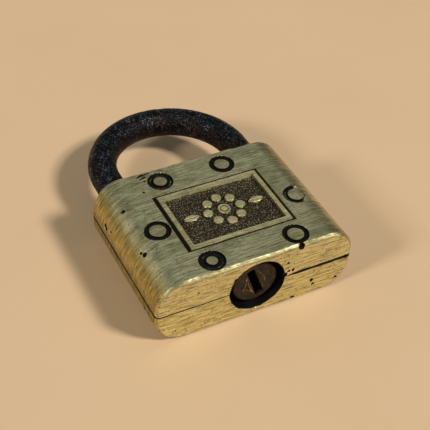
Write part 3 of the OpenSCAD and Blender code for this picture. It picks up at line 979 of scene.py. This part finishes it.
def case_brass(name, clean, dull, dark, pale):
    """Cast brass, brushed across by years of polishing, under a thin olive tarnish. Light breaks up along
    the brush lines, with pale marks on them that are painted glints. The sides are tinted golden and the
    ends pale by the way they face, a painted reflection. Soot stays black in every groove, and the same
    black is also painted shade on walls, lips and rims that would catch light."""
    material, tree, place = blank_material(name)
    dirt_and_shade = add(tree, "Attribute", output="Fac", attribute_name="dirt_and_shade")
    worn = add(tree, "Attribute", output="Fac", attribute_name="worn")
    sunk = add(tree, "Attribute", output="Fac", attribute_name="sunk")
    brush = brushed(tree, place, 0.4)
    wide_brush = brushed(tree, place, 1.7)
    stain = add(tree, "TexNoise", {"Vector": place, "Scale": scale(1.8), "Detail": 5.0, "Roughness": 0.7})
    patch = add(tree, "TexNoise", {"Vector": place, "Scale": scale(7.0), "Detail": 3.0, "Roughness": 0.6})
    speck = add(tree, "TexNoise", {"Vector": place, "Scale": scale(0.5), "Detail": 2.0, "Roughness": 0.6})
    dots = add(tree, "TexNoise", {"Vector": place, "Scale": scale(0.34), "Detail": 2.0, "Roughness": 0.5})

    film = add(tree, "Math", {0: wide_brush, 1: 0.9, 2: patch}, operation="MULTIPLY_ADD")
    film = add(tree, "MapRange", {0: film, 1: 0.72, 2: 1.15}, **EASED)
    streaks = add(tree, "MapRange", {0: brush, 1: 0.44, 2: 0.66, 4: 0.85}, **EASED)
    # Pale marks along the brush lines are painted glints.
    painted_glint_dashes = add(tree, "MapRange", {0: brush, 1: 0.35, 2: 0.45, 3: 0.75, 4: 0.0}, **EASED)
    # Worn places take a duller tone: partly wear, and partly painted shade that tones down their highlight.
    rubbed = add(tree, "Math", {0: worn, 1: 0.7}, operation="MULTIPLY")
    stains = add(tree, "MapRange", {0: stain, 1: 0.53, 2: 0.72, 4: 0.65}, **EASED)
    spots = add(tree, "MapRange", {0: speck, 1: 0.63, 2: 0.71, 4: 0.85}, **EASED)

    # Soot covers all but the highest grains of the sunk ground
    soil_and_shade = add(tree, "Math", {0: speck, 1: 0.3, 2: dirt_and_shade}, operation="MULTIPLY_ADD")
    soil_and_shade = add(tree, "MapRange", {0: soil_and_shade, 1: 0.35, 2: 0.85}, **EASED)
    grains = add(tree, "MapRange", {0: dots, 1: 0.53, 2: 0.66, 4: -0.42}, **EASED)
    covered = add(tree, "Math", {0: sunk, 1: grains, 2: 1.0}, operation="MULTIPLY_ADD")
    soil_and_shade = add(tree, "Math", {0: soil_and_shade, 1: covered}, operation="MULTIPLY")
    # These tones serve for soot and for painted shade alike.
    soot = add(tree, "Mix", {0: sunk, 6: linear("#0b0907"), 7: linear("#221d14")}, **COLOURS)
    # The sides' golden tint and the ends' pale one follow the way each face turns: a painted reflection.
    layers = [
        (film, dull), (facing(tree, 0, 0.75), "#cab35c"), (facing(tree, 1, 0.75), "#f0eab2"),
        (streaks, dark), (painted_glint_dashes, pale), (rubbed, "#9a946c"), (stains, "#84794c"), (spots, "#3b361f"),
        (soil_and_shade, soot),
    ]

    rough = add(tree, "MapRange", {0: brush, 1: 0.3, 2: 0.7, 3: 0.28, 4: 0.42}, **EASED)
    rough = add(tree, "Math", {0: worn, 1: 0.36, 2: rough}, operation="MULTIPLY_ADD")
    rough = add(tree, "Math", {0: soil_and_shade, 1: 0.25, 2: rough}, operation="MULTIPLY_ADD")
    metal = add(tree, "Math", {0: soil_and_shade, 1: -0.8, 2: 1.0}, operation="MULTIPLY_ADD")
    across_lines = add(tree, "CombineXYZ", {1: 1.0, 2: 0.25})
    stipple = add(tree, "Math", {0: dots, 1: sunk}, operation="MULTIPLY")
    inputs = {
        "Metallic": metal, "Roughness": rough, "Specular IOR Level": 0.12,
        "Anisotropic": 0.6, "Tangent": across_lines,
    }
    surface(tree, clean, layers, inputs, [(brush, 0.1), (speck, 0.02), (stipple, 0.14)])
    return material


def shackle_iron():
    """Blackened iron bar, finely pitted all over and oiled by hands. It is nearly black. Tiny bare points
    glint cold grey where light falls, and thin rust browns the inside of the bow."""
    material, tree, place = blank_material("blackened_iron")
    pit = add(tree, "Attribute", output="Fac", attribute_name="pit")
    rust = add(tree, "Attribute", output="Fac", attribute_name="rust")
    patch = add(tree, "TexNoise", {"Vector": place, "Scale": scale(3.0), "Detail": 4.0, "Roughness": 0.65})
    crust = add(tree, "TexNoise", {"Vector": place, "Scale": scale(0.38), "Detail": 3.0, "Roughness": 0.6})

    black = add(tree, "MapRange", {0: patch, 1: 0.35, 2: 0.7}, **EASED)
    brown = add(tree, "Mix", {0: crust, 6: linear("#090504"), 7: linear("#3d2412")}, **COLOURS)
    rusty = add(tree, "MapRange", {0: crust, 1: 0.42, 2: 0.62, 3: 0.1, 4: 0.75}, **EASED)
    rusty = add(tree, "Math", {0: rust, 1: rusty}, operation="MULTIPLY")
    no_rust = add(tree, "Math", {0: 1.0, 1: rusty}, operation="SUBTRACT")

    # Bare points stand on the high grains, away from pits and rust
    bare = add(tree, "Math", {0: pit, 1: -0.06, 2: crust}, operation="MULTIPLY_ADD")
    bare = add(tree, "MapRange", {0: bare, 1: 0.54, 2: 0.66}, **EASED)
    bare = add(tree, "Math", {0: bare, 1: no_rust}, operation="MULTIPLY")
    handled = add(tree, "MapRange", {0: patch, 1: 0.35, 2: 0.6, 3: 1.0, 4: 0.25}, **EASED)
    bare = add(tree, "Math", {0: bare, 1: handled}, operation="MULTIPLY")
    layers = [(black, "#010101"), (rusty, brown), (bare, "#7c8490")]

    metal = add(tree, "Math", {0: bare, 1: 0.85}, operation="MULTIPLY")
    rough = add(tree, "MapRange", {0: crust, 1: 0.35, 2: 0.65, 3: 0.5, 4: 0.26}, **EASED)
    inputs = {"Metallic": metal, "Roughness": rough, "Specular IOR Level": 0.1}
    surface(tree, "#050507", layers, inputs, [(crust, 0.2), (patch, 0.1)])
    return material


def plug_brass():
    """Turned brass plug, black-brown with old oil. Keys have scraped bright lines on it."""
    material, tree, place = blank_material("oiled_brass")
    worn = add(tree, "Attribute", output="Fac", attribute_name="worn")
    dirt_and_shade = add(tree, "Attribute", output="Fac", attribute_name="dirt_and_shade")
    crust = add(tree, "TexNoise", {"Vector": place, "Scale": scale(0.6), "Detail": 4.0, "Roughness": 0.65})
    patch = add(tree, "TexNoise", {"Vector": place, "Scale": scale(2.2), "Detail": 3.0, "Roughness": 0.6})
    brown = add(tree, "MapRange", {0: patch, 1: 0.35, 2: 0.7}, **EASED)
    bright = add(tree, "Math", {0: crust, 1: -0.4, 2: worn}, operation="MULTIPLY_ADD")
    bright = add(tree, "MapRange", {0: bright, 1: 0.1, 2: 0.7}, **EASED)
    soil_and_shade = add(tree, "MapRange", {0: dirt_and_shade, 1: 0.4, 2: 0.9}, **EASED)
    layers = [(brown, "#3d3122"), (bright, "#b0946a"), (soil_and_shade, "#080605")]
    rough = add(tree, "MapRange", {0: crust, 1: 0.3, 2: 0.7, 3: 0.4, 4: 0.6}, **EASED)
    metal = add(tree, "MapRange", {0: bright, 3: 0.5}, **EASED)
    surface(tree, "#1d1610", layers, {"Metallic": metal, "Roughness": rough}, [(crust, 0.05), (patch, 0.05)])
    return material


def inner_metal(name, light, dark, roughness, lump):
    """Turned or stamped works that only oil has touched. The colour is uneven, with a dull shine."""
    material, tree, place = blank_material(name)
    patch = add(tree, "TexNoise", {"Vector": place, "Scale": scale(lump), "Detail": 4.0, "Roughness": 0.6})
    fine = add(tree, "TexNoise", {"Vector": place, "Scale": scale(lump / 6), "Detail": 2.0})
    uneven = add(tree, "MapRange", {0: patch, 1: 0.35, 2: 0.68}, **EASED)
    rough = add(tree, "MapRange", {0: fine, 1: 0.3, 2: 0.7, 3: roughness, 4: roughness + 0.18}, **EASED)
    surface(tree, light, [(uneven, dark)], {"Metallic": 1.0, "Roughness": rough}, [(fine, 0.01)])
    return material


def table_top():
    """Plain matt table top, a warm tan."""
    material, tree, place = blank_material("tan_table")
    tone = add(tree, "TexNoise", {"Vector": place, "Scale": scale(60.0), "Detail": 2.0, "Roughness": 0.55})
    fine = add(tree, "TexNoise", {"Vector": place, "Scale": scale(0.8), "Detail": 2.0, "Roughness": 0.55})
    inputs = {"Roughness": 0.7, "Specular IOR Level": 0.2}
    surface(tree, "#d3b997", [(tone, "#ccb18e")], inputs, [(fine, 0.01)])
    return material


# ---- Build ----

# The last colour of each is that of the painted glints along the brush lines.
front_brass = case_brass("brushed_tarnished_brass", "#e4deb2", "#b8b58b", "#706b48", "#f2eac4")
back_brass = case_brass("worn_cast_brass", "#e0d8a0", "#b6ad76", "#6e6440", "#f0eabc")
rivet_brass = case_brass("peened_brass", "#cfcaa3", "#9c9975", "#6c6848", "#dcd6b0")

front = keep_inside(case_block("front_half_cast", 1, FRONT_T, True), "front_half")
shade(front)
mark_case(front, FRONT_T, 1)
finish_piece(front, "padlock_case", "tarnished_brass_front", front_brass, "front_half")

back = keep_inside(case_block("back_half_cast", -1, BACK_T, False), "back_half")
shade(back)
mark_case(back, BACK_T, -1)
finish_piece(back, "padlock_case", "worn_brass_back", back_brass, "back_half")

finish_piece(make_rivets(), "padlock_case", "rivet_brass", rivet_brass, "case_rivets")
finish_piece(make_shackle(), "shackle_body", "dark_iron", shackle_iron(), "shackle")
finish_piece(make_plug(), "plug_body", "dirty_plug_brass", plug_brass(), "keyway_plug")

ward_brass = inner_metal("oiled_ward_brass", "#a3945c", "#5d5230", 0.35, 2.5)
inner_steel = inner_metal("oiled_steel", "#7c7870", "#3f3a33", 0.32, 3.0)
spring_wire = inner_metal("spring_wire", "#6d6860", "#37312a", 0.28, 1.2)

# The springs are closed copies of their nodes. The latch spring goes with the case and has a mesh of its
# own; the shackle spring's place is baked into its mesh.
bolt_coil = welded_copy(NODES["latch_spring"])
bolt_coil.name = "latch_spring_coil"
finish_piece(bolt_coil, "padlock_case", "spring_steel", spring_wire, "latch_spring")
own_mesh(bolt_coil)

foot_coil = welded_copy(NODES["shackle_spring"])
foot_coil.name = "shackle_spring_coil"
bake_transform(foot_coil)
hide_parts("shackle_spring")
foot_coil.data.materials.clear()
foot_coil.data.materials.append(spring_wire)

for name, node in NODES.items():
    if node.hide_render:
        continue
    material = inner_steel
    if name.startswith("ward") or name == "cam":
        material = ward_brass
    if name.endswith("spring"):
        material = spring_wire
    node.data.materials.clear()
    node.data.materials.append(material)


# ---- Table, lamps and sky ----

WARM_WHITE = "#fff6ec"


def make_table():
    """A wide flat table under the padlock."""
    reach = 3.0
    z = CAD_BOX[0].z
    corners_of_table = [(-reach, -reach, z), (reach, -reach, z), (reach, reach, z), (-reach, reach, z)]
    mesh = bpy.data.meshes.new("table")
    mesh.from_pydata(corners_of_table, [], [(0, 1, 2, 3)])
    table = bpy.data.objects.new("table", mesh)
    bpy.context.scene.collection.objects.link(table)
    mesh.materials.append(table_top())


def softbox(name, way, distance, width, height, power, colour):
    """A soft rectangular lamp that faces the padlock."""
    data = bpy.data.lights.new(name, "AREA")
    data.shape = "RECTANGLE"
    data.size = width
    data.size_y = height
    data.energy = power
    data.color = linear(colour)[:3]
    lamp = bpy.data.objects.new(name, data)
    away = Vector(way).normalized()
    lamp.location = away * distance
    lamp.rotation_mode = "QUATERNION"
    lamp.rotation_quaternion = away.to_track_quat("Z", "Y")
    bpy.context.scene.collection.objects.link(lamp)


def make_room():
    """A dim, even, cool light from all around."""
    world = bpy.data.worlds.new("room")
    world.use_nodes = True
    light = world.node_tree.nodes["Background"]
    light.inputs["Color"].default_value = linear("#c4ccc8")
    light.inputs["Strength"].default_value = 0.18
    bpy.context.scene.world = world


make_table()
softbox("right_softbox", (0.66, -0.75, 1.0), 3.0, 0.5, 0.5, 82.0, WARM_WHITE)
softbox("left_softbox", (-1.62, -0.24, 1.0), 3.0, 0.6, 0.6, 46.5, WARM_WHITE)
softbox("sky_card", (0.08, 0.74, 0.67), 0.8, 0.7, 0.6, 0.5, "#e1e8e3")
softbox("roll_card", (-0.56, 0.5, 0.57), 0.8, 0.2, 0.2, 0.17, WARM_WHITE)
make_room()
bpy.context.scene.view_settings.view_transform = "Standard"
